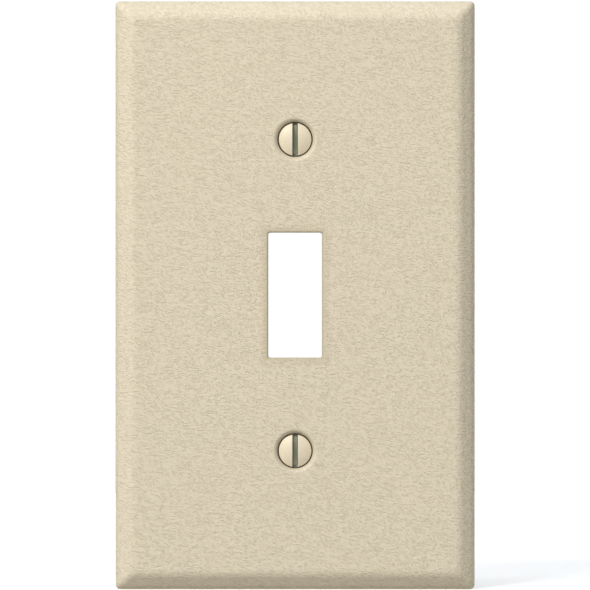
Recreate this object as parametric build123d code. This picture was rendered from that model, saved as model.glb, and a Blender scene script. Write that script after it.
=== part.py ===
"""One-gang toggle switch wall plate of pressed sheet steel, with its two slotted oval-head screws.

Row frame: the wall is the plane y = 0 and the plate's rim rests on it. The face looks along -Y, +Z is up,
and the origin is the plate's centre on the wall. Millimetres.
"""

from build123d import *
import math
import os

INCH = 25.4

# The pressed plate
plate_width = 2.75 * INCH
plate_height = 4.5 * INCH
plate_depth = 0.2 * INCH  # from the wall to the face
sheet = 0.8
bevel_angle = 40.0  # between the bevel and the face, in degrees
bevel_run = 1.3  # the bevel's flat stretch, seen from the front
face_bend_r = 2.6  # outside radius where the bevel meets the face
rim_bend_r = 2.8  # outside radius where the bevel meets the skirt
corner_r = 0.9  # rounding along the four mitred corners
inner_corner_r = 0.3

# The opening for the switch's toggle
opening_width = 10.4
opening_height = 24.2
opening_corner_r = 0.4
opening_edge_r = 0.35  # the roll that the punch leaves on the front edge

# No. 6-32 UNC oval-head machine screw
countersink_angle = 82.0  # included angle of the head's cone and of its seat
head_d = 6.5
head_edge = 0.1
dome_height = 0.85
slot_width = 1.0
slot_depth = 1.5
screw_length = 0.5 * INCH  # from the head's edge to the tip
thread_d = 3.48
thread_pitch = INCH / 32
thread_angle = 60.0
neck_length = 0.4  # plain shank between the cone and the thread
tip_chamfer = 0.5

# The two dimpled screw seats
screw_spacing = 2.375 * INCH
seat_margin = 0.7  # how much wider than the head the seat would be if its rim weren't rolled
seat_gap = 0.08  # between the head's cone and the seat, across the screw's axis
seat_roll_r = 0.9
seat_wall = 0.7
hole_clearance = 0.26  # around the thread
hole_land = 0.6  # the straight stretch of the hole behind the cone

EXACT = 1e-9

cone_slope = math.tan(math.radians(countersink_angle / 2))
seat_r = (head_d + seat_margin) / 2
hole_r = thread_d / 2 + hole_clearance
bevel_sin = math.sin(math.radians(bevel_angle))
bevel_cos = math.cos(math.radians(bevel_angle))
skirt_height = plate_depth - (
    rim_bend_r * bevel_cos + bevel_run * bevel_sin / bevel_cos + face_bend_r * (1 - bevel_cos)
)
face_y = -plate_depth
boss_depth = (seat_r - hole_r) / cone_slope + hole_land
head_edge_depth = (seat_margin / 2 - seat_gap) / cone_slope - head_edge


def polar(radius, degrees):
    """A point at this distance and angle from the first axis."""
    return Vector(radius * math.cos(math.radians(degrees)), radius * math.sin(math.radians(degrees)))


def pressed_outline(half, inset):
    """Half of the plate's section, closed along the wall: out along X, and towards the face along Y.

    half is the plate's half width or height, and inset is 0 for the outside or the sheet for the inside.
    """
    rim_r = rim_bend_r - inset
    face_r = face_bend_r - inset
    slope_normal = Vector(bevel_sin, bevel_cos)
    slope_step = Vector(-bevel_cos, bevel_sin) * (bevel_run / bevel_cos)
    rim_centre = Vector(half - rim_bend_r, skirt_height)
    face_centre = rim_centre + slope_normal * (rim_bend_r - face_bend_r) + slope_step
    skirt_top = rim_centre + Vector(rim_r, 0)
    slope_start = rim_centre + slope_normal * rim_r
    slope_end = face_centre + slope_normal * face_r
    face_edge = face_centre + Vector(0, face_r)
    rim_middle = rim_centre + polar(rim_r, (90 - bevel_angle) / 2)
    face_middle = face_centre + polar(face_r, 90 - bevel_angle / 2)
    return Curve() + [
        Line((0, 0), (half - inset, 0)),
        Line((half - inset, 0), skirt_top),
        ThreePointArc(skirt_top, rim_middle, slope_start),
        Line(slope_start, slope_end),
        ThreePointArc(slope_end, face_middle, face_edge),
        Line(face_edge, (0, face_edge.Y)),
        Line((0, face_edge.Y), (0, 0)),
    ]


def pressed_block(inset):
    """The solid under the plate's outside (inset 0) or inside (inset sheet), with mitred corners."""
    across_section = make_face(pressed_outline(plate_width / 2, inset))
    across_section += mirror(across_section, Plane.YZ)
    along_section = make_face(pressed_outline(plate_height / 2, inset))
    along_section += mirror(along_section, Plane.YZ)
    across = extrude(across_section, plate_height, both=True)
    along = extrude(along_section, plate_width, both=True)
    to_front = Plane(origin=(0, 0, 0), x_dir=(1, 0, 0), z_dir=(0, 0, -1))
    turned = Plane(origin=(0, 0, 0), x_dir=(0, 0, 1), z_dir=(1, 0, 0))
    return (to_front * across) & (turned * along)


def with_round_corners(block, radius):
    """Rounds the block's four mitred corners, from the rim to where the mitre runs out on the face."""
    reach = rim_bend_r + face_bend_r + bevel_run
    box = block.bounding_box()
    corners = [
        edge
        for edge in block.edges()
        if box.max.X - abs(edge.center().X) < reach and box.max.Z - abs(edge.center().Z) < reach
    ]
    return fillet(corners, radius)


def seat_plane(height):
    """The plane of one screw seat: origin on the face at this height, Z into the wall, Y downwards."""
    return Plane(origin=(0, face_y, height), x_dir=(1, 0, 0), z_dir=(0, 1, 0))


def seat_boss():
    """The metal that the dimple pushes out behind the sheet, as a solid cone."""
    wall_across = seat_wall / math.cos(math.radians(countersink_angle / 2))
    start_depth = sheet / 2
    start_r = seat_r + wall_across - start_depth * cone_slope
    end_r = seat_r + wall_across - boss_depth * cone_slope
    start = (start_r, start_depth)
    end = (end_r, boss_depth)
    outline = Polyline((0, start_depth), start, end, (0, boss_depth), close=True)
    return revolve(Plane.XZ * make_face(outline), Axis.Z)


def seat_sink():
    """What the dimple and its hole take out of the sheet, up to the rolled rim on the face."""
    half_angle = countersink_angle / 2
    roll_length = seat_roll_r * math.tan(math.radians((90 - half_angle) / 2))
    rim = Vector(seat_r + roll_length, 0)
    roll_centre = rim + Vector(0, seat_roll_r)
    roll_middle = roll_centre + polar(seat_roll_r, -90 - (90 - half_angle) / 2)
    roll_end = roll_centre + polar(seat_roll_r, -90 - (90 - half_angle))
    cone_end = Vector(hole_r, (seat_r - hole_r) / cone_slope)
    outline = Curve() + [
        Line((0, -sheet), (rim.X, -sheet)),
        Line((rim.X, -sheet), rim),
        ThreePointArc(rim, roll_middle, roll_end),
        Line(roll_end, cone_end),
        Line(cone_end, (cone_end.X, boss_depth + sheet)),
        Line((cone_end.X, boss_depth + sheet), (0, boss_depth + sheet)),
        Line((0, boss_depth + sheet), (0, -sheet)),
    ]
    return revolve(Plane.XZ * make_face(outline), Axis.Z)


def wall_plate():
    """The pressed shell with its toggle opening and its two dimpled screw seats."""
    outside = with_round_corners(pressed_block(0), corner_r)
    inside = with_round_corners(pressed_block(sheet), inner_corner_r)
    plate = outside - inside
    window = RectangleRounded(opening_width, opening_height, opening_corner_r)
    plate -= Plane.XZ * extrude(window, plate_depth + sheet)
    front_edges = [
        edge
        for edge in plate.edges()
        if abs(edge.center().Y - face_y) < EXACT
        and abs(edge.center().X) < opening_width / 2 + EXACT
        and abs(edge.center().Z) < opening_height / 2 + EXACT
    ]
    plate = fillet(front_edges, opening_edge_r)
    for height in (-screw_spacing / 2, screw_spacing / 2):
        plate += seat_plane(height) * seat_boss()
        plate -= seat_plane(height) * seat_sink()
    return plate


def thread_depth():
    """Depth of an external unified thread."""
    return thread_pitch * math.cos(math.radians(thread_angle / 2)) * 17 / 24


def shank_start():
    """Height of the head's underside, where its cone has narrowed to the plain shank."""
    return head_edge + (head_d / 2 - neck_radius()) / cone_slope


def neck_radius():
    """The plain shank is as thick as the thread is at half its depth."""
    return (thread_d - thread_depth()) / 2


def screw_head():
    """The oval head about Z: its edge at z = 0, its dome below that and its cone above."""
    head_r = head_d / 2
    dome_r = (head_r**2 + dome_height**2) / (2 * dome_height)
    half_dome = math.degrees(math.asin(head_r / dome_r)) / 2
    dome_middle = Vector(0, dome_r - dome_height) + polar(dome_r, -90 + half_dome)
    cone = Polyline(
        (head_r, 0),
        (head_r, head_edge),
        (neck_radius(), shank_start()),
        (0, shank_start()),
        (0, -dome_height),
    )
    outline = Curve() + [ThreePointArc((0, -dome_height), dome_middle, (head_r, 0)), cone]
    return revolve(Plane.XZ * make_face(outline), Axis.Z)


def shank_envelope():
    """What the shank is turned to before it is threaded: plain neck, shoulder and chamfered tip."""
    neck_r = neck_radius()
    neck_end = shank_start() + neck_length
    beyond = thread_pitch  # outside the thread, so that its crest stays as it was cut
    outline = Polyline(
        (0, shank_start()),
        (neck_r, shank_start()),
        (neck_r, neck_end),
        (thread_d / 2 + beyond, neck_end + thread_d / 2 + beyond - neck_r),
        (thread_d / 2 + beyond, screw_length - tip_chamfer - beyond),
        (thread_d / 2 - tip_chamfer, screw_length),
        (0, screw_length),
        close=True,
    )
    return revolve(Plane.XZ * make_face(outline), Axis.Z)


def thread_groove(start, end):
    """The V groove of a right-hand thread, swept along a helix about Z between these heights."""
    depth = thread_depth()
    side_slope = math.tan(math.radians(thread_angle / 2))
    crest_half = thread_pitch * 7 / 16
    over = thread_pitch / 16  # past the crest, so that the cut is clean
    profile = Polyline(
        (-depth, crest_half - depth * side_slope),
        (over, crest_half + over * side_slope),
        (over, -crest_half - over * side_slope),
        (-depth, depth * side_slope - crest_half),
        close=True,
    )
    at_crest = Plane(origin=(thread_d / 2, 0, start), x_dir=(1, 0, 0), z_dir=(0, 1, 0))
    helix = Helix(thread_pitch, end - start, thread_d / 2, center=(0, 0, start))
    return sweep(at_crest * make_face(profile), path=helix, is_frenet=True)


def threaded_shank():
    """The shank, cut from a rod that is longer than the groove at both ends and then trimmed."""
    start = shank_start() + neck_length
    end = screw_length + thread_pitch
    spare = 2 * thread_pitch
    rod = Cylinder(thread_d / 2, end - start + 2 * spare, align=(Align.CENTER, Align.CENTER, Align.MIN))
    return (Pos(0, 0, start - spare) * rod - thread_groove(start, end)) & shank_envelope()


def screw():
    """One oval-head screw about Z, its slot along Y."""
    slot = Box(slot_width, 2 * head_d, slot_depth, align=(Align.CENTER, Align.CENTER, Align.MIN))
    return screw_head() + threaded_shank() - Pos(0, 0, -dome_height) * slot


def build_parts():
    """Every piece by its node's name, in its place on the wall."""
    fastener = Pos(0, 0, head_edge_depth) * screw()
    return {
        "wall_plate": wall_plate(),
        "upper_screw": seat_plane(screw_spacing / 2) * fastener,
        "lower_screw": seat_plane(-screw_spacing / 2) * fastener,
    }


os.makedirs("parts", exist_ok=True)
for node, shape in build_parts().items():
    export_step(shape, f"parts/{node}.step")
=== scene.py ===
"""One-gang toggle switch wall plate of pressed steel in ivory wrinkle coat, with two oval-head screws.

Inside the shape functions everything is in millimetres and a finished mesh is scaled to metres.
The wall is the plane y = 0, the face looks along -Y, and Z is up.
"""

import bmesh
import bpy
import math
from mathutils import Matrix, Vector, noise


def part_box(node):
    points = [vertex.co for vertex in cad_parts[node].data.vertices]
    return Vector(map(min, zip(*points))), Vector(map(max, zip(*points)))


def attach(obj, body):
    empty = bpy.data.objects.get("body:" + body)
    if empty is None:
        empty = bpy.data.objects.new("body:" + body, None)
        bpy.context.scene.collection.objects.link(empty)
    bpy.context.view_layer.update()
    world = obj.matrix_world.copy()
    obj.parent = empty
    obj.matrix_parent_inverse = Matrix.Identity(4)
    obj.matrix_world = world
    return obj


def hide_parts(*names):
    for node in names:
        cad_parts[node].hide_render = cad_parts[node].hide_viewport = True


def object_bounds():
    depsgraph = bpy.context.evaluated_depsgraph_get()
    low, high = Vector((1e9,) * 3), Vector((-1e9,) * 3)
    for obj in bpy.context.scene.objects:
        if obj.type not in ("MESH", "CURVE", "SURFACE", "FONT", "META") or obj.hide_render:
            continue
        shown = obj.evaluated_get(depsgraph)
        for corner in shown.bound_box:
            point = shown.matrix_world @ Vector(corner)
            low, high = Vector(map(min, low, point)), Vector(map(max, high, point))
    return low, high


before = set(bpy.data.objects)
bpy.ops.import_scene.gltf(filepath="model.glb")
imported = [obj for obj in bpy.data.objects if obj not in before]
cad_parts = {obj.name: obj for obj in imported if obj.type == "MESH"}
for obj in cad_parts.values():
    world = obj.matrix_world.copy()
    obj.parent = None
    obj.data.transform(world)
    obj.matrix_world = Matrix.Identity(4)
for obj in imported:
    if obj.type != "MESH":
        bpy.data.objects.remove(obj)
cad_low, cad_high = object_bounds()

MM = 0.001  # in metres
EXACT = 1e-4  # points closer than this, in millimetres, are the same point


def frame_box(node):
    """A node's lowest and highest corners, in millimetres."""
    low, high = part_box(node)
    return Vector(low) / MM, Vector(high) / MM


plate_low, plate_high = frame_box("wall_plate")
upper_low, upper_high = frame_box("upper_screw")
lower_low, lower_high = frame_box("lower_screw")

# The pressed plate
half_width = plate_high.x
half_height = plate_high.z
plate_depth = -plate_low.y
sheet = 0.8
bevel_angle = math.radians(40)
bevel_run = 1.3
face_bend_r = 2.6
rim_bend_r = 2.8
corner_r = 0.9
inner_corner_r = 0.3
rim_run = rim_bend_r * (1 - math.sin(bevel_angle))
flat_inset = rim_run + bevel_run + face_bend_r * math.sin(bevel_angle)
skirt_height = plate_depth - (
    rim_bend_r * math.cos(bevel_angle)
    + bevel_run * math.tan(bevel_angle)
    + face_bend_r * (1 - math.cos(bevel_angle))
)
back_y = sheet - plate_depth
sharp_angle = math.radians(38)  # an edge that turns by more than this stays crisp

# The toggle opening, then its outline where the rolled edge starts on the face
opening_width = 10.4
opening_height = 24.2
opening_wall_corner_r = 0.4
opening_roll_r = 0.35
opening_half_x = opening_width / 2 + opening_roll_r
opening_half_z = opening_height / 2 + opening_roll_r
opening_corner_r = opening_wall_corner_r + opening_roll_r

# The dimpled screw seats
seat_heights = ((lower_low.z + lower_high.z) / 2, (upper_low.z + upper_high.z) / 2)
cone_half_angle = 41  # degrees, in the seat and on the head
cone_slope = math.tan(math.radians(cone_half_angle))
seat_r = 3.6
seat_roll_r = 0.9
seat_roll_turn = math.radians(90 - cone_half_angle)
seat_roll_start = seat_r + seat_roll_r * math.tan(seat_roll_turn / 2)
hole_r = 2.0
hole_land = 0.6  # the straight stretch of the hole behind the cone
boss_depth = (seat_r - hole_r) / cone_slope + hole_land
seat_wall = 0.7
boss_wall = seat_wall / math.cos(math.radians(cone_half_angle))
seat_patch = opening_half_x  # half the square of the face that one seat takes up

# The screws
head_r = (upper_high.x - upper_low.x) / 2
dome_y = upper_low.y
tip_y = upper_high.y
dome_height = 0.85
head_edge = 0.1
dome_r = (head_r**2 + dome_height**2) / (2 * dome_height)
head_edge_r = 0.06  # the enamel's rounding over the head's edge
cone_y = dome_y + dome_height + head_edge
slot_half = 0.5
slot_depth = 1.5
slot_floor_y = dome_y + slot_depth
slot_edge_r = 0.08  # the enamel's rounding over the slot's edges
neck_r = 1.4965
shank_y = cone_y + (head_r - neck_r) / cone_slope
neck_length = 0.4
thread_y = shank_y + neck_length
thread_r = 1.74
thread_root_r = 1.253
thread_pitch = 0.79375
thread_half_angle = math.radians(30)
thread_crest = thread_pitch / 8
thread_flank = (thread_r - thread_root_r) * math.tan(thread_half_angle)
thread_root = thread_pitch - thread_crest - 2 * thread_flank
tip_chamfer = 0.5
tip_r = thread_r - tip_chamfer

# The coat's wrinkles: the face's grid carries the broad ones, and the finish the fine ones
cell_x = 0.45
cell_z = 0.23
wrinkle_height = 0.028
broad_length = 1.9
broad_width = 0.75
fine_length = 0.95
fine_width = 0.27
crease_tilts = (16, 42)  # degrees below level, to the right
wrinkle_seed = 1  # without one, the wandering would differ from run to run


def smooth_step(value, low, high):
    """0 below low, 1 above high, with a smooth change between."""
    share = min(1.0, max(0.0, (value - low) / (high - low)))
    return share * share * (3 - 2 * share)


def finished(bm, name, body, node, materials):
    """Turns a closed bmesh in millimetres into an object of the body, standing for the CAD node."""
    bmesh.ops.remove_doubles(bm, verts=bm.verts, dist=EXACT)
    bmesh.ops.recalc_face_normals(bm, faces=bm.faces)
    bmesh.ops.scale(bm, vec=(MM, MM, MM), verts=bm.verts)
    mesh = bpy.data.meshes.new(name)
    bm.to_mesh(mesh)
    bm.free()
    mesh.shade_smooth()
    mesh.set_sharp_from_angle(angle=sharp_angle)
    for material in materials:
        mesh.materials.append(material)
    piece = bpy.data.objects.new(name, mesh)
    bpy.context.scene.collection.objects.link(piece)
    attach(piece, body)
    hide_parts(node)
    return piece


def open_edges(bm, holds):
    """The edges with one face whose two ends both satisfy the test."""
    return [
        edge
        for edge in bm.edges
        if len(edge.link_faces) < 2 and holds(edge.verts[0].co) and holds(edge.verts[1].co)
    ]


def next_ring(bm, ring, place, slot=0):
    """Extrudes a loop of edges and moves the new loop to where place() sends each of its points."""
    grown = bmesh.ops.extrude_edge_only(bm, edges=ring)["geom"]
    points = {item for item in grown if isinstance(item, bmesh.types.BMVert)}
    for point in points:
        point.co = place(point.co)
    faces = [item for item in grown if isinstance(item, bmesh.types.BMFace)]
    for face in faces:
        face.material_index = slot
    return [
        edge
        for edge in grown
        if isinstance(edge, bmesh.types.BMEdge) and all(end in points for end in edge.verts)
    ]


def evenly(start, end, step):
    """Places from just after start up to end, about a step apart."""
    count = max(1, round((end - start) / step))
    return [start + (end - start) * (i + 1) / count for i in range(count)]


def section(half, inset, step):
    """Points on the pressed section after the flat: distance from the middle, height off the wall."""
    face_r, rim_r = face_bend_r - inset, rim_bend_r - inset
    face_x, face_h = half - flat_inset, plate_depth - face_bend_r
    rim_x, rim_h = half - rim_bend_r, skirt_height
    points = [
        (face_x + face_r * math.sin(turn), face_h + face_r * math.cos(turn))
        for turn in evenly(0, bevel_angle, step / face_bend_r)
    ]
    start = points[-1]
    end = (rim_x + rim_r * math.sin(bevel_angle), rim_h + rim_r * math.cos(bevel_angle))
    length = math.dist(start, end)
    points += [
        (start[0] + (end[0] - start[0]) * way / length, start[1] + (end[1] - start[1]) * way / length)
        for way in evenly(0, length, step)
    ]
    points += [
        (rim_x + rim_r * math.sin(turn), rim_h + rim_r * math.cos(turn))
        for turn in evenly(bevel_angle, math.pi / 2, step / rim_bend_r)
    ]
    return points


def grid_lines(half, marks, step):
    """Places of the grid's lines across the whole plate, with one on each mark."""
    lines = [0.0]
    for mark in (*marks, half - flat_inset):
        lines += evenly(lines[-1], mark, step)
    lines += [out for out, height in section(half, 0, step)]
    return [-place for place in reversed(lines[1:])] + lines


def face_height(inset):
    """How far the outside stands off the wall, at this distance in from the skirt."""
    slope_height = skirt_height + rim_bend_r * math.cos(bevel_angle)
    if inset < rim_run:
        return skirt_height + math.sqrt(max(0.0, rim_bend_r**2 - (rim_bend_r - inset) ** 2))
    if inset < rim_run + bevel_run:
        return slope_height + (inset - rim_run) * math.tan(bevel_angle)
    if inset < flat_inset:
        return plate_depth - face_bend_r + math.sqrt(face_bend_r**2 - (flat_inset - inset) ** 2)
    return plate_depth


def rounded_inset(x, z):
    """Distance in from the skirt, with the four mitred corners rounded."""
    from_side, from_end = half_width - abs(x), half_height - abs(z)
    if abs(from_side - from_end) >= corner_r:
        return min(from_side, from_end)
    middle, apart = (from_side + from_end) / 2, (from_side - from_end) / 2
    return middle - corner_r + math.sqrt(corner_r**2 / 2 - apart**2)


def onto_corner(x, z, half_x, half_z, radius):
    """Moves a point of a square corner onto the quarter disc that the corner is rounded to."""
    out_x, out_z = abs(x) - (half_x - radius), abs(z) - (half_z - radius)
    if out_x <= 0 or out_z <= 0:
        return x, z
    pull = max(out_x, out_z) / math.hypot(out_x, out_z)
    new_x, new_z = half_x - radius + out_x * pull, half_z - radius + out_z * pull
    return math.copysign(new_x, x), math.copysign(new_z, z)


def pressed_face(bm):
    """The outside of the plate as a fine grid, from the skirt's top edge inwards."""
    patch_low, patch_high = seat_heights[1] - seat_patch, seat_heights[1] + seat_patch
    lines_x = grid_lines(half_width, (opening_half_x,), cell_x)
    lines_z = grid_lines(half_height, (opening_half_z, patch_low, patch_high), cell_z)
    count_x, count_z = len(lines_x) - 1, len(lines_z) - 1
    bmesh.ops.create_grid(bm, x_segments=count_x, y_segments=count_z, size=1)
    for point in bm.verts:
        x = lines_x[round((point.co.x + 1) / 2 * count_x)]
        z = lines_z[round((point.co.y + 1) / 2 * count_z)]
        x, z = onto_corner(x, z, half_width, half_height, corner_r)
        point.co = (x, -face_height(rounded_inset(x, z)), z)


def in_opening(co, spare=EXACT):
    """Whether a point is within the outline where the opening's rolled edge starts."""
    return abs(co.x) < opening_half_x + spare and abs(co.z) < opening_half_z + spare


def in_seat_patch(co, height, spare=EXACT):
    """Whether a point is within the square of the face that one screw seat takes up."""
    return abs(co.x) < seat_patch + spare and abs(co.z - height) < seat_patch + spare


def cut_faces(bm, inside):
    """Takes away the faces whose middle is inside."""
    gone = [face for face in bm.faces if inside(face.calc_center_median())]
    bmesh.ops.delete(bm, geom=gone, context="FACES")


def opening_place(co, inward, y):
    """Where a point of the opening's outline goes: this far in from the roll's start, at this y."""
    centre_x, centre_z = opening_half_x - opening_corner_r, opening_half_z - opening_corner_r
    out_x, out_z = abs(co.x) - centre_x, abs(co.z) - centre_z
    if out_x > EXACT and out_z > EXACT:
        reach = (opening_corner_r - inward) / math.hypot(out_x, out_z)
        return Vector(
            (
                math.copysign(centre_x + out_x * reach, co.x),
                y,
                math.copysign(centre_z + out_z * reach, co.z),
            )
        )
    if out_z > EXACT:
        return Vector((co.x, y, math.copysign(opening_half_z - inward, co.z)))
    return Vector((math.copysign(opening_half_x - inward, co.x), y, co.z))


def punch_opening(bm):
    """Cuts the toggle opening with its rolled front edge, and gives its loop at the back."""
    cut_faces(bm, lambda co: in_opening(co, 0))
    ring = open_edges(bm, in_opening)
    for point in {end for edge in ring for end in edge.verts}:
        point.co.x, point.co.z = onto_corner(
            point.co.x, point.co.z, opening_half_x, opening_half_z, opening_corner_r
        )
    steps = 5
    for step in range(1, steps + 1):
        turn = math.pi / 2 * step / steps
        inward = opening_roll_r * math.sin(turn)
        y = -plate_depth + opening_roll_r * (1 - math.cos(turn))
        ring = next_ring(bm, ring, lambda co: opening_place(co, inward, y))
    return next_ring(bm, ring, lambda co: Vector((co.x, back_y, co.z)))


def seat_section():
    """The seat's outline from the face to the back: radius and depth below the face."""
    roll_steps, cone_steps = 5, 4
    points = [
        (seat_roll_start - seat_roll_r * math.sin(turn), seat_roll_r * (1 - math.cos(turn)))
        for turn in evenly(0, seat_roll_turn, seat_roll_turn / roll_steps)
    ]
    start_r, cone_end = points[-1][0], (seat_r - hole_r) / cone_slope
    points += [
        (radius, (seat_r - radius) / cone_slope)
        for radius in evenly(start_r, hole_r, (start_r - hole_r) / cone_steps)
    ]
    return points + [(hole_r, (cone_end + boss_depth) / 2), (hole_r, boss_depth)]


def boss_section():
    """The boss behind a seat, from the hole's end to the back of the sheet."""
    return [
        (seat_r + boss_wall - boss_depth * cone_slope, boss_depth),
        (seat_r + boss_wall - (boss_depth + sheet) / 2 * cone_slope, (boss_depth + sheet) / 2),
        (seat_r + boss_wall - sheet * cone_slope, sheet),
    ]


def press_seat(bm, height):
    """Presses one seat with its hole and boss into the face, and gives its loop at the back."""
    cut_faces(bm, lambda co: in_seat_patch(co, height, 0))
    ring = open_edges(bm, lambda co: in_seat_patch(co, height))
    steps = 7
    for step in range(steps):
        share = 1 / (steps - step)

        def towards_roll(co):
            out = Vector((co.x, 0, co.z - height))
            on_circle = out.normalized() * seat_roll_start + Vector((0, co.y, height))
            return co.lerp(on_circle, share)

        ring = next_ring(bm, ring, towards_roll)
    for slot, outline in ((0, seat_section()), (1, boss_section())):
        for radius, depth in outline:

            def around(co):
                out = Vector((co.x, 0, co.z - height)).normalized() * radius
                return Vector((out.x, depth - plate_depth, height + out.z))

            ring = next_ring(bm, ring, around, slot)
    return ring


def inner_shell(bm):
    """The inside of the bends with rounded corners, and its loops at the rim and at the flat."""
    arc_steps = 4
    bend_step = 0.5
    made = bmesh.ops.create_circle(bm, segments=4 * (arc_steps + 1), radius=1)["verts"]
    half_x, half_z = half_width - sheet, half_height - sheet
    for index, point in enumerate(sorted(made, key=lambda v: math.atan2(v.co.y, v.co.x) % math.tau)):
        corner, step = divmod(index, arc_steps + 1)
        turn = math.pi / 2 * (corner + step / arc_steps)
        side_x = 1 if corner in (0, 3) else -1
        side_z = 1 if corner in (0, 1) else -1
        x = side_x * (half_x - inner_corner_r) + inner_corner_r * math.cos(turn)
        z = side_z * (half_z - inner_corner_r) + inner_corner_r * math.sin(turn)
        point.co = (x, 0, z)
    first = list({edge for point in made for edge in point.link_edges})
    ring = next_ring(bm, first, lambda co: Vector((co.x, -skirt_height, co.z)), 1)
    points = section(half_width, sheet, bend_step)[::-1]
    points.append((half_width - flat_inset, plate_depth - sheet))
    out_before = half_width - sheet
    for out, height in points[1:]:
        inward = out_before - out
        out_before = out

        def moved(co):
            return Vector(
                (co.x - math.copysign(inward, co.x), -height, co.z - math.copysign(inward, co.z))
            )

        ring = next_ring(bm, ring, moved, 1)
    return first, ring


def fill_flat(bm, edges):
    """Fills the flat between loops that lie in one plane, with bare steel."""
    made = bmesh.ops.triangle_fill(bm, use_beauty=True, use_dissolve=False, edges=edges)
    for face in made["geom"]:
        if isinstance(face, bmesh.types.BMFace):
            face.material_index = 1


def lined(co, tilt, length, width):
    """Noise drawn out into short lines that slope down to the right by this many degrees."""
    turn = math.radians(tilt)
    along = co.x * math.cos(turn) - co.z * math.sin(turn)
    across = co.x * math.sin(turn) + co.z * math.cos(turn)
    return noise.noise(Vector((along / length, co.y / length, across / width)))


def streaks(co):
    """The wrinkle pattern at a point: from about -1 in a crease to 1 on a crest."""
    place = co + 0.8 * noise.noise_vector(co * 0.35)
    elsewhere = Vector((3.1, 7.7, 1.3))  # so that the change of tilt doesn't follow the wandering
    share = smooth_step(noise.noise(co * 0.4 + elsewhere), -0.3, 0.3)
    gentle, steep = (lined(place, tilt, broad_length, broad_width) for tilt in crease_tilts)
    return gentle + share * (steep - gentle)


def coat_share(co):
    """How much of the wrinkles' full height the coat has here: none at a cut edge or inside a seat."""
    fade = 1.2  # from an edge to the full height
    plain_rim = 0.3  # up the skirt from the wall
    from_opening = max(abs(co.x) - opening_half_x, abs(co.z) - opening_half_z)
    from_seat = min(math.hypot(co.x, co.z - height) for height in seat_heights) - seat_roll_start
    over_rim = -co.y - plain_rim
    return (
        smooth_step(from_opening, 0.0, fade)
        * smooth_step(from_seat, -0.1, 0.9)
        * smooth_step(over_rim, 0.0, fade)
    )


def wrinkle(bm):
    """Raises the coat's wrinkles on the face, and keeps their pattern for the painted shade in its
    valleys.
    """
    noise.seed_set(wrinkle_seed)
    relief = bm.verts.layers.float.new("relief")
    bm.normal_update()
    front = {point for face in bm.faces if face.material_index == 0 for point in face.verts}
    moves = []
    for point in front:
        share = coat_share(point.co)
        if share > 0:
            moves.append((point, share, streaks(point.co)))
    for point, share, pattern in moves:
        point.co += point.normal * (wrinkle_height * share * pattern)
        point[relief] = share * pattern


def wall_plate(materials):
    """The whole plate as one closed mesh: coated outside, bare steel inside."""
    bm = bmesh.new()
    pressed_face(bm)
    loops = [punch_opening(bm)] + [press_seat(bm, height) for height in seat_heights]
    skirt = open_edges(bm, lambda co: rounded_inset(co.x, co.z) < EXACT)
    for height in (skirt_height * 2 / 3, skirt_height / 3, 0.0):
        skirt = next_ring(bm, skirt, lambda co: Vector((co.x, -height, co.z)))
    bmesh.ops.recalc_face_normals(bm, faces=bm.faces)
    wrinkle(bm)
    rim, flat = inner_shell(bm)
    fill_flat(bm, skirt + rim)
    fill_flat(bm, flat + [edge for loop in loops for edge in loop])
    return finished(bm, "wall_plate_shell", "plate", "wall_plate", materials)


def edge_drop(distance, radius):
    """How far a rounded edge lies below the sharp one, at this distance from it."""
    if distance >= radius:
        return 0.0
    return radius - math.sqrt(radius**2 - (radius - max(0.0, distance)) ** 2)


def side_radius(y):
    """Radius of the head's side at this place along the screw: its edge, then its cone."""
    return head_r - max(0.0, y - cone_y) * cone_slope


def half_head_point(row, turn, last_turn):
    """A point on one side of the slot: up the slot's wall, over the dome and down the cone.

    turn is the point's angle round the head, and last_turn is that of the slot's wall at the edge.
    """
    kind, place = row
    height = head_r * math.sin(turn)
    if kind == "dome":
        x = slot_half + place * (head_r * math.cos(turn) - slot_half)
        out = math.hypot(x, height)
        dome = dome_y + dome_r - math.sqrt(dome_r**2 - out**2)
        drop = max(edge_drop(x - slot_half, slot_edge_r), edge_drop(head_r - out, head_edge_r))
        return Vector((x, dome + drop, height))
    radius = side_radius(place)
    if kind == "side":
        angle = turn / last_turn * math.acos(slot_half / radius)
        return Vector((radius * math.cos(angle), place, radius * math.sin(angle)))
    top = half_head_point(("dome", 0.0), turn, last_turn).y
    tip_top = half_head_point(("dome", 0.0), last_turn, last_turn).y
    share = (slot_floor_y - place) / (slot_floor_y - tip_top)
    reach = math.sqrt(radius**2 - slot_half**2) * math.sin(turn) / math.sin(last_turn)
    return Vector((slot_half, slot_floor_y + share * (top - slot_floor_y), reach))


def half_head(bm):
    """One half of the head down to the slot's floor, as a sheet that closes at the slot's ends."""
    levels = [slot_floor_y, (slot_floor_y + cone_y) / 2, cone_y]
    # Shares of the way from the slot to the rim, closer together where the enamel rounds over
    over_dome = [0.0, 0.007, 0.016, 0.03, 0.06, 0.12]
    over_dome += evenly(0.12, 0.92, 0.08) + [0.96, 0.985, 0.995, 1.0]
    rows = [("wall", y) for y in levels] + [("dome", share) for share in over_dome]
    rows += [("side", y) for y in reversed(levels)]
    columns = 44
    last_turn = math.acos(slot_half / head_r)
    made = bmesh.ops.create_grid(bm, x_segments=columns, y_segments=len(rows) - 1, size=1)["verts"]
    row_of = {}
    for point in made:
        row = round((point.co.y + 1) / 2 * (len(rows) - 1))
        row_of[point] = row
        point.co = half_head_point(rows[row], point.co.x * last_turn, last_turn)
    for face in {face for point in made for face in point.link_faces}:
        kinds = {rows[row_of[point]][0] for point in face.verts}
        face.material_index = 0 if kinds == {"dome"} else 1


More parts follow.
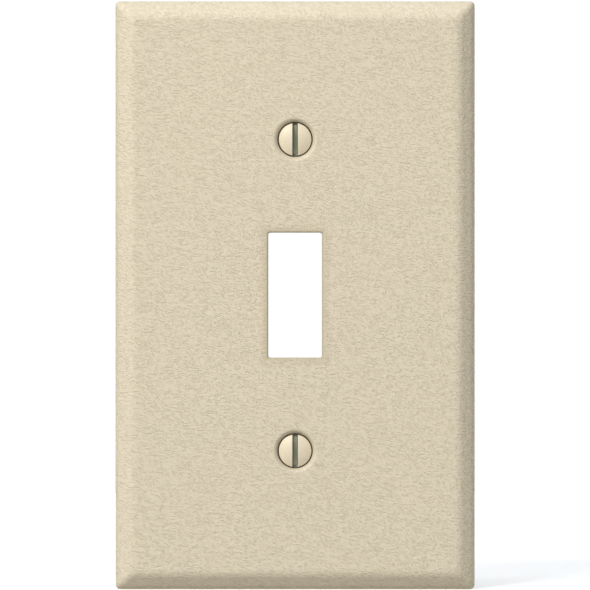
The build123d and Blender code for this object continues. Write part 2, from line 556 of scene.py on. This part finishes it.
def slot_floor(bm):
    """The floor of the slot, from one wall to the other."""
    floor_r = side_radius(slot_floor_y)
    wall_z = math.sqrt(floor_r**2 - slot_half**2)
    row = open_edges(bm, lambda co: co.y > slot_floor_y - EXACT and abs(co.x - slot_half) < EXACT)
    steps = 4
    for step in range(1, steps + 1):
        x = slot_half - 2 * slot_half * step / steps
        stretch = math.sqrt(floor_r**2 - x**2) / wall_z
        wall_z *= stretch
        row = next_ring(bm, row, lambda co: Vector((x, co.y, co.z * stretch)), 1)


def taper(bm, ring, outline):
    """Carries a round loop along the screw through these pairs of radius and place."""
    for radius, y in outline:

        def around(co):
            out = Vector((co.x, 0, co.z)).normalized() * radius
            return Vector((out.x, y, out.z))

        ring = next_ring(bm, ring, around, 1)
    return ring


def thread_point(turn, along, radius):
    """A point of the right-hand thread, kept between the plain neck and the chamfered tip."""
    y = along + thread_pitch * turn / math.tau
    if y <= thread_y:
        y, radius = thread_y, neck_r
    elif y >= tip_y:
        y, radius = tip_y, tip_r
    else:
        radius = min(radius, neck_r + (y - thread_y), tip_r + (tip_y - y))
    return Vector((radius * math.sin(turn), y, radius * math.cos(turn)))


def threaded_shank(bm):
    """The thread as one sheet wound along the shank, and the two loops that end it."""
    root_start = thread_crest + thread_flank
    root_end = root_start + thread_root
    middle_r = (thread_r + thread_root_r) / 2
    outline = [
        (0.0, thread_r),
        (thread_crest, thread_r),
        (thread_crest + thread_flank / 2, middle_r),
        (root_start, thread_root_r),
        (root_end, thread_root_r),
        (root_end + thread_flank / 2, middle_r),
    ]
    early_turns = 2  # wound before the neck's end, where they fall flat
    turns = math.ceil((tip_y - thread_y) / thread_pitch) + early_turns + 1
    columns, rows = 72, turns * len(outline)
    made = bmesh.ops.create_grid(bm, x_segments=columns, y_segments=rows, size=1)["verts"]
    for point in made:
        winding, step = divmod(round((point.co.y + 1) / 2 * rows), len(outline))
        along = thread_y + (winding - early_turns) * thread_pitch + outline[step][0]
        point.co = thread_point((point.co.x + 1) * math.pi, along, outline[step][1])
    for face in {face for point in made for face in point.link_faces}:
        face.material_index = 1
    bmesh.ops.remove_doubles(bm, verts=bm.verts, dist=EXACT)


def screw(name, body, node, height, materials):
    """One oval-head screw as a closed mesh, its slot upright."""
    bm = bmesh.new()
    half_head(bm)
    other = bmesh.ops.duplicate(bm, geom=bm.verts[:] + bm.edges[:] + bm.faces[:])["geom"]
    turned = [item for item in other if isinstance(item, bmesh.types.BMVert)]
    bmesh.ops.rotate(bm, cent=(0, 0, 0), matrix=Matrix.Rotation(math.pi, 3, "Y"), verts=turned)
    bmesh.ops.remove_doubles(bm, verts=bm.verts, dist=EXACT)
    slot_floor(bm)
    bmesh.ops.remove_doubles(bm, verts=bm.verts, dist=EXACT)
    below = [(side_radius(y), y) for y in evenly(slot_floor_y, shank_y, 0.4)]
    neck = taper(bm, open_edges(bm, lambda co: True), below + [(neck_r, (shank_y + thread_y) / 2)])
    threaded_shank(bm)
    start = open_edges(bm, lambda co: abs(co.y - thread_y) < EXACT)
    end = open_edges(bm, lambda co: abs(co.y - tip_y) < EXACT)
    bridge = bmesh.ops.bridge_loops(bm, edges=neck + start)
    for face in bridge["faces"]:
        face.material_index = 1
    taper(bm, end, [(tip_r / 2, tip_y), (0.0, tip_y)])
    bmesh.ops.translate(bm, vec=(0, 0, height), verts=bm.verts)
    return finished(bm, name, body, node, materials)


# The finishes' colours, as plain light
coat_colour = (0.80, 0.70, 0.52)
coat_warm_colour = (0.82, 0.70, 0.51)
# painted shade for the coat's creases and valleys
coat_crease_shade_colour = (0.745, 0.645, 0.455)
# painted shade round the opening and the seats
coat_shade_colour = (0.46, 0.37, 0.22)
# painted shade on the opening's rolled edge and cut wall
coat_edge_shade_colour = (0.24, 0.20, 0.12)
# painted shade in the gap between a head and its seat
seat_gap_shade_colour = (0.10, 0.085, 0.045)
# painted shade in the seat's cone under the head
seat_cone_shade_colour = (0.34, 0.33, 0.23)
enamel_colour = (0.84, 0.72, 0.52)
enamel_warm_colour = (0.87, 0.74, 0.52)
slot_floor_colour = (0.47, 0.49, 0.34)
slot_stain_colour = (0.36, 0.38, 0.26)
# painted shade on the slot's walls and along its edges
slot_wall_shade_colour = (0.075, 0.065, 0.03)
sheet_dark_colour = (0.46, 0.47, 0.47)
sheet_light_colour = (0.55, 0.55, 0.53)
sheet_line_colour = (0.34, 0.35, 0.35)
sheet_stain_colour = (0.46, 0.44, 0.39)
zinc_dark_colour = (0.44, 0.44, 0.41)
zinc_light_colour = (0.66, 0.66, 0.62)
# painted shade in the thread's root
thread_root_shade_colour = (0.2, 0.19, 0.16)

# How high the finishes' patterns stand, in metres
coat_bump = 0.00009
seat_bump = 0.00048
grain_bump = 0.000002
roll_line_bump = 0.000003
speck_bump = 0.000004
enamel_fleck_bump = 0.000003
enamel_peel_bump = 0.00002
milling_bump = 0.000005
zinc_fleck_bump = 0.000004

seat_gap_shade_r = 3.42  # where the painted shade of the gap between a head and its seat ends


def plain(name, colour, rough, metal=0.0):
    """A material with one shader, ready for its pattern."""
    material = bpy.data.materials.new(name)
    material.use_nodes = True
    shader = material.node_tree.nodes["Principled BSDF"]
    shader.inputs["Base Color"].default_value = (*colour, 1)
    shader.inputs["Roughness"].default_value = rough
    shader.inputs["Metallic"].default_value = metal
    return material


def fill_sockets(material, node, inputs):
    """Sets or joins a node's inputs, by name with _ for each space, or by number as in i2."""
    for name, value in inputs.items():
        key = int(name[1:]) if name[1:].isdigit() else name.replace("_", " ")
        if isinstance(value, bpy.types.NodeSocket):
            material.node_tree.links.new(value, node.inputs[key])
        else:
            node.inputs[key].default_value = value


def add_node(material, kind, settings=None, **inputs):
    """Adds a node with these settings and inputs to a material or to the world."""
    made = material.node_tree.nodes.new("ShaderNode" + kind)
    for name, value in (settings or {}).items():
        setattr(made, name, value)
    fill_sockets(material, made, inputs)
    return made


def shade(material, **inputs):
    """Sets or joins the shader's inputs."""
    fill_sockets(material, material.node_tree.nodes["Principled BSDF"], inputs)


def maths(material, operation, first, second=0.0):
    """The result of one sum on two values."""
    settings = {"operation": operation}
    return add_node(material, "Math", settings, i0=first, i1=second).outputs["Value"]


def plus(material, value, other, times):
    """The value and this many times another one."""
    return maths(material, "ADD", value, maths(material, "MULTIPLY", other, times))


def ramp(material, value, low, high, start=0.0, end=1.0):
    """Smoothly from start to end while the value goes from low to high."""
    settings = {"interpolation_type": "SMOOTHSTEP"}
    inputs = {"From_Min": low, "From_Max": high, "To_Min": start, "To_Max": end}
    return add_node(material, "MapRange", settings, Value=value, **inputs).outputs["Result"]


def blend(material, share, first, second):
    """Mixes two colours, or paints the second over the first. Each is a colour or a node's output."""
    first, second = ((*side, 1) if isinstance(side, tuple) else side for side in (first, second))
    settings = {"data_type": "RGBA"}
    return add_node(material, "Mix", settings, i0=share, i6=first, i7=second).outputs[2]


def noise_value(material, place, scale, detail=2.0, rough=0.5):
    """Plain noise at this scale, from 0 to 1."""
    made = add_node(material, "TexNoise", Vector=place, Scale=scale, Detail=detail, Roughness=rough)
    return made.outputs["Fac"]


def millimetres(material):
    """The place on the piece in millimetres, and its three parts."""
    place = add_node(material, "TexCoord").outputs["Object"]
    scaled = add_node(material, "Mapping", i0=place, Scale=(1 / MM, 1 / MM, 1 / MM)).outputs[0]
    parts = add_node(material, "SeparateXYZ", Vector=scaled).outputs
    return scaled, parts[0], parts[1], parts[2]


def bump(material, height, distance, under=None):
    """A bump from this pattern, this many metres high, over another one if there is one."""
    inputs = {"Strength": 1.0, "Distance": distance, "Height": height}
    if under is not None:
        inputs["Normal"] = under
    return add_node(material, "Bump", **inputs).outputs["Normal"]


def seat_distance(material, x, z):
    """Distance from the nearer screw's axis, in millimetres."""
    above = maths(material, "SUBTRACT", maths(material, "ABSOLUTE", z), seat_heights[1])
    square_x, square_z = (maths(material, "POWER", part, 2) for part in (x, above))
    return maths(material, "SQRT", maths(material, "ADD", square_x, square_z))


def opening_distance(material, x, z):
    """How far outside the opening's walls a place on the face is, in millimetres."""
    side = maths(material, "SUBTRACT", maths(material, "ABSOLUTE", x), opening_width / 2)
    end = maths(material, "SUBTRACT", maths(material, "ABSOLUTE", z), opening_height / 2)
    return maths(material, "MAXIMUM", side, end)


def wandering(material, place, scale, reach):
    """The place pushed about slowly within a box of this size, so that straight patterns wander."""
    push = add_node(material, "TexNoise", Vector=place, Scale=scale, Detail=1.0).outputs["Color"]
    settings = {"operation": "MULTIPLY_ADD"}
    box, centred = (reach, reach, reach), (-reach / 2, -reach / 2, -reach / 2)
    moved = add_node(material, "VectorMath", settings, i0=push, i1=box, i2=place).outputs[0]
    return add_node(material, "Mapping", i0=moved, Location=centred).outputs[0]


def creases(material, place, tilt, length, width):
    """Noise drawn out into short lines that slope down to the right by this many degrees."""
    settings = {"rotation_type": "Y_AXIS"}
    turn = -math.radians(tilt)
    turned = add_node(material, "VectorRotate", settings, Vector=place, Angle=turn).outputs[0]
    stretch = (1 / length, 1 / length, 1 / width)
    drawn = add_node(material, "Mapping", i0=turned, Scale=stretch).outputs[0]
    return noise_value(material, drawn, 1.0, rough=0.65)


def between(material, share, first, second):
    """A value part of the way from the first to the second."""
    return add_node(material, "Mix", {"data_type": "FLOAT"}, i0=share, i2=first, i3=second).outputs[0]


def wrinkle_coat():
    """Ivory powder coat that has cured in short fine wrinkles."""
    material = plain("ivory_wrinkle_coat", coat_colour, 0.5)
    place, x, y, z = millimetres(material)
    from_seat = seat_distance(material, x, z)
    from_opening = opening_distance(material, x, z)

    # The fine wrinkles, which die down by the opening and in the seats
    flow = wandering(material, place, 0.36, 0.45)
    which = ramp(material, noise_value(material, place, 0.45, 1.0), 0.35, 0.65)
    gentle, steep = (creases(material, flow, tilt, fine_length, fine_width) for tilt in crease_tilts)
    fine = between(material, which, gentle, steep)
    crease = ramp(material, fine, 0.3, 0.58)
    calm = maths(
        material,
        "MULTIPLY",
        ramp(material, from_opening, 0.1, 1.0, 0.35, 1.0),
        ramp(material, from_seat, 3.6, 4.6, 0.15, 1.0),
    )
    height = maths(material, "MULTIPLY", crease, calm)
    grain = noise_value(material, place, 9.0, 2.0)
    build_up = bump(material, ramp(material, from_seat, 3.0, 4.25), seat_bump)
    wrinkled = bump(material, height, coat_bump, build_up)
    normal = bump(material, grain, grain_bump, wrinkled)

    # Painted shade in the creases and the valleys, and a little warmer in broad patches
    tone = blend(material, crease, coat_crease_shade_colour, coat_colour)
    patches = ramp(material, noise_value(material, place, 0.09, 3.0), 0.3, 0.7)
    tone = blend(material, maths(material, "MULTIPLY", patches, 0.2), tone, coat_warm_colour)
    relief = add_node(material, "Attribute", {"attribute_name": "relief"}).outputs["Fac"]
    # painted shade in the wrinkles' valleys
    valley_shade = ramp(material, relief, -0.6, 0.0, 0.3, 0.0)
    tone = blend(material, valley_shade, tone, coat_crease_shade_colour)

    # Painted shade round the opening and the seats, and darker painted shade on the opening's rolled
    # edge and its cut wall
    opening_and_seat_shade = maths(
        material,
        "MAXIMUM",
        ramp(material, from_opening, -0.5, 2.1, 0.42, 0.0),
        ramp(material, from_seat, 3.4, 4.3, 0.14, 0.0),
    )
    tone = blend(material, opening_and_seat_shade, tone, coat_shade_colour)
    # painted shade on the opening's rolled edge
    rolled = ramp(material, from_opening, 0.05, 0.5, 0.34, 0.0)
    # painted shade on the opening's cut wall
    cut = maths(
        material,
        "MULTIPLY",
        ramp(material, y, 0.3 - plate_depth, 0.45 - plate_depth),
        ramp(material, from_opening, 0.1, 0.3, 0.9, 0.0),
    )
    tone = blend(material, maths(material, "MAXIMUM", rolled, cut), tone, coat_edge_shade_colour)

    # Painted shade: the dark ring in the gap where a head meets its seat, and the seat's cone behind it
    gap_shade = ramp(material, from_seat, seat_gap_shade_r - 0.06, seat_gap_shade_r + 0.04, 1.0, 0.0)
    in_cone = ramp(material, from_seat, 3.0, 3.25)
    # the gap's painted shade, lighter deeper in the cone
    mark = blend(material, in_cone, seat_cone_shade_colour, seat_gap_shade_colour)
    tone = blend(material, gap_shade, tone, mark)

    in_crease = ramp(material, fine, 0.3, 0.7, 0.1, 0.0)
    rough = maths(material, "ADD", in_crease, ramp(material, grain, 0.2, 0.8, 0.36, 0.44))
    smoother = ramp(material, from_seat, seat_roll_start - 0.3, seat_roll_start + 0.3, 0.1, 0.0)
    rough = maths(material, "SUBTRACT", rough, smoother)
    shade(material, Base_Color=tone, Roughness=rough, Normal=normal, Specular_IOR_Level=0.45)
    return material


def bare_steel():
    """Zinc-coated sheet steel on the plate's back, dusted with overspray by the rim and the opening."""
    material = plain("zinc_coated_sheet", (0.5, 0.5, 0.48), 0.4, 1.0)
    place, x, y, z = millimetres(material)
    cells = add_node(material, "TexVoronoi", Vector=place, Scale=0.24, Randomness=1.0).outputs["Color"]
    spangle = add_node(material, "SeparateColor", i0=cells).outputs[0]
    lines = add_node(material, "Mapping", i0=place, Scale=(5.0, 1.0, 0.25)).outputs[0]
    rolled = noise_value(material, lines, 1.0, 3.0)
    specks = noise_value(material, place, 6.0, 2.0)
    cloud = noise_value(material, place, 0.12, 2.0)
    tone = blend(material, spangle, sheet_dark_colour, sheet_light_colour)
    tone = blend(material, ramp(material, rolled, 0.35, 0.7, 0.0, 0.35), tone, sheet_line_colour)
    tone = blend(material, ramp(material, cloud, 0.45, 0.75, 0.0, 0.4), tone, sheet_stain_colour)

    # Overspray, broken up into specks where it ends
    inwards = plus(material, maths(material, "MULTIPLY", y, -0.5), specks, -2.4)
    near_rim = ramp(material, inwards, -1.35, -0.55, 1.0, 0.0)
    dusted = plus(material, opening_distance(material, x, z), specks, -2.2)
    near_opening = ramp(material, dusted, -1.2, 0.3, 0.8, 0.0)
    spray = maths(material, "MAXIMUM", near_rim, near_opening)
    tone = blend(material, spray, tone, coat_colour)

    metal = maths(material, "SUBTRACT", 1.0, spray)
    rough = plus(material, ramp(material, spangle, 0.0, 1.0, 0.34, 0.46), spray, 0.2)
    normal = bump(material, rolled, roll_line_bump, bump(material, specks, speck_bump))
    shade(material, Base_Color=tone, Metallic=metal, Roughness=rough, Normal=normal)
    return material


def ivory_enamel():
    """Smooth baked enamel on the screws' heads, with painted shade at the head's edge and beside the
    slot.
    """
    material = plain("ivory_enamel", enamel_colour, 0.32)
    place, x, _, z = millimetres(material)
    from_axis = seat_distance(material, x, z)
    from_slot = maths(material, "ABSOLUTE", x)
    flecks = noise_value(material, place, 3.2, 3.0)
    peel = noise_value(material, place, 1.4, 2.0)
    tone = blend(material, ramp(material, peel, 0.35, 0.7), enamel_colour, enamel_warm_colour)
    # painted shade of the gap at the head's edge
    rim = plus(material, from_axis, flecks, 0.08)
    rim_gap_shade = ramp(material, rim, head_r - 0.11, head_r - 0.03)
    tone = blend(material, rim_gap_shade, tone, seat_gap_shade_colour)
    # painted shade along the slot's edges
    slot_side = plus(material, from_slot, flecks, -0.05)
    slot_edge_shade = ramp(material, slot_side, slot_half - 0.02, slot_half + 0.035, 0.75, 0.0)
    tone = blend(material, slot_edge_shade, tone, slot_wall_shade_colour)
    rough = ramp(material, flecks, 0.2, 0.8, 0.38, 0.52)
    normal = bump(material, flecks, enamel_fleck_bump, bump(material, peel, enamel_peel_bump))
    shade(material, Base_Color=tone, Roughness=rough, Normal=normal, Specular_IOR_Level=0.4)
    return material


def zinc_plate():
    """Bright zinc on the shanks, dull in the slot; painted shade on its walls, head edge and thread
    root.
    """
    material = plain("zinc_plate", (0.55, 0.55, 0.5), 0.35, 1.0)
    place, x, y, z = millimetres(material)
    from_axis = seat_distance(material, x, z)
    flecks = noise_value(material, place, 4.0, 3.0)
    lines = add_node(material, "Mapping", i0=place, Scale=(9.0, 9.0, 1.2)).outputs[0]
    milled = noise_value(material, lines, 1.0, 2.0)
    in_head = ramp(material, y, cone_y + 0.6, cone_y + 1.2, 1.0, 0.0)

    # Bright on the shank, with painted shade in the thread's root
    bright = blend(material, flecks, zinc_dark_colour, zinc_light_colour)
    root_shade = ramp(material, from_axis, thread_root_r, thread_root_r + 0.25, 0.55, 0.0)
    bright = blend(material, root_shade, bright, thread_root_shade_colour)

    # Dull in the slot, with painted shade nearly black on its walls and dark at the head's edge
    slot_tone_and_shade = blend(material, milled, slot_floor_colour, slot_stain_colour)
    wall_shade = ramp(material, maths(material, "ABSOLUTE", x), slot_half - 0.2, slot_half - 0.04)
    slot_tone_and_shade = blend(material, wall_shade, slot_tone_and_shade, slot_wall_shade_colour)
    head_edge_shade = ramp(material, from_axis, 2.95, 3.15, 0.0, 0.5)
    slot_tone_and_shade = blend(material, head_edge_shade, slot_tone_and_shade, seat_gap_shade_colour)

    tone = blend(material, in_head, bright, slot_tone_and_shade)
    metal = ramp(material, in_head, 0.0, 1.0, 1.0, 0.25)
    rough = plus(material, ramp(material, flecks, 0.2, 0.8, 0.26, 0.4), in_head, 0.15)
    normal = bump(material, milled, milling_bump, bump(material, flecks, zinc_fleck_bump))
    shade(material, Base_Color=tone, Metallic=metal, Roughness=rough, Normal=normal)
    return material


# The stage, in metres
camera_distance = 0.925
softbox_distance = 1.2
floor_half = 0.45

# Each soft box: name, azimuth and elevation in degrees, width and height, and power in watts
softboxes = (
    ("key_softbox", -32, 36, 0.5, 0.5, 9.0),
    ("left_softbox", -78, 20, 0.4, 0.8, 1.0),
    ("top_softbox", -10, 80, 0.8, 0.5, 1.3),
    ("back_softbox", 176, 20, 1.6, 1.2, 7),
)
light_from_below = (0.435, 0.42, 0.395)
light_from_above = (0.53, 0.565, 0.61)


def add_camera():
    """The camera looks square on at the face."""
    camera = bpy.data.cameras.new("camera")
    camera.sensor_width = 36
    camera.lens = 289.8
    camera.shift_x = -0.0002
    camera.shift_y = 0.0002
    piece = bpy.data.objects.new("camera", camera)
    piece.location = (0, -camera_distance, 0)
    piece.rotation_euler = (math.pi / 2, 0, 0)
    bpy.context.scene.collection.objects.link(piece)
    bpy.context.scene.camera = piece


def add_softbox(name, azimuth, elevation, size_x, size_y, power):
    """A soft box aimed at the plate. Azimuth is to the right of the camera."""
    light = bpy.data.lights.new(name, "AREA")
    light.shape = "RECTANGLE"
    light.size, light.size_y = size_x, size_y
    light.energy = power
    piece = bpy.data.objects.new(name, light)
    turn, rise = math.radians(azimuth), math.radians(elevation)
    level = math.cos(rise)
    towards = Vector((math.sin(turn) * level, -math.cos(turn) * level, math.sin(rise)))
    piece.location = towards * softbox_distance
    piece.rotation_euler = towards.to_track_quat("Z", "Y").to_euler()
    piece.visible_camera = False
    bpy.context.scene.collection.objects.link(piece)


def add_world():
    """White behind everything, with a softer light on the object.

    That light is cool from above, warm from below and weak from behind.
    """
    world = bpy.data.worlds.new("studio")
    world.use_nodes = True
    bpy.context.scene.world = world
    world.node_tree.nodes.clear()
    direction = add_node(world, "TexCoord").outputs["Generated"]
    parts = add_node(world, "SeparateXYZ", Vector=direction).outputs
    reach = {"From_Min": -0.6, "From_Max": 0.6}
    rise = add_node(world, "MapRange", Value=parts["Z"], **reach).outputs["Result"]
    fall = {"From_Min": 0.0, "From_Max": 0.5, "To_Min": 1.0, "To_Max": 0.3}
    behind = add_node(world, "MapRange", Value=parts["Y"], **fall).outputs["Result"]
    tone = blend(world, rise, light_from_below, light_from_above)
    soft = add_node(world, "Background", Color=tone, Strength=behind).outputs[0]
    white = add_node(world, "Background", Color=(1, 1, 1, 1)).outputs[0]
    seen = add_node(world, "LightPath").outputs["Is Camera Ray"]
    surround = add_node(world, "MixShader", i0=seen, i1=soft, i2=white).outputs[0]
    add_node(world, "OutputWorld", Surface=surround)


def add_floor():
    """A plain pale floor that the plate stands on, which doesn't throw light up at it."""
    bm = bmesh.new()
    bmesh.ops.create_grid(bm, x_segments=1, y_segments=1, size=floor_half)
    bmesh.ops.translate(bm, vec=(0, 0, cad_low.z), verts=bm.verts)
    mesh = bpy.data.meshes.new("floor")
    bm.to_mesh(mesh)
    bm.free()
    pale = plain("pale_floor", (0.92, 0.92, 0.91), 0.9)
    shade(pale, Emission_Color=(1, 1, 1, 1), Emission_Strength=0.32)
    mesh.materials.append(pale)
    floor = bpy.data.objects.new("floor", mesh)
    floor.visible_diffuse = False
    bpy.context.scene.collection.objects.link(floor)


add_camera()
bpy.context.scene.view_settings.view_transform = "Standard"
add_world()
add_floor()
for softbox in softboxes:
    add_softbox(*softbox)
wall_plate([wrinkle_coat(), bare_steel()])
head_finish = [ivory_enamel(), zinc_plate()]
screw("lower_oval_head_screw", "lower_fastener", "lower_screw", seat_heights[0], head_finish)
screw("upper_oval_head_screw", "upper_fastener", "upper_screw", seat_heights[1], head_finish)
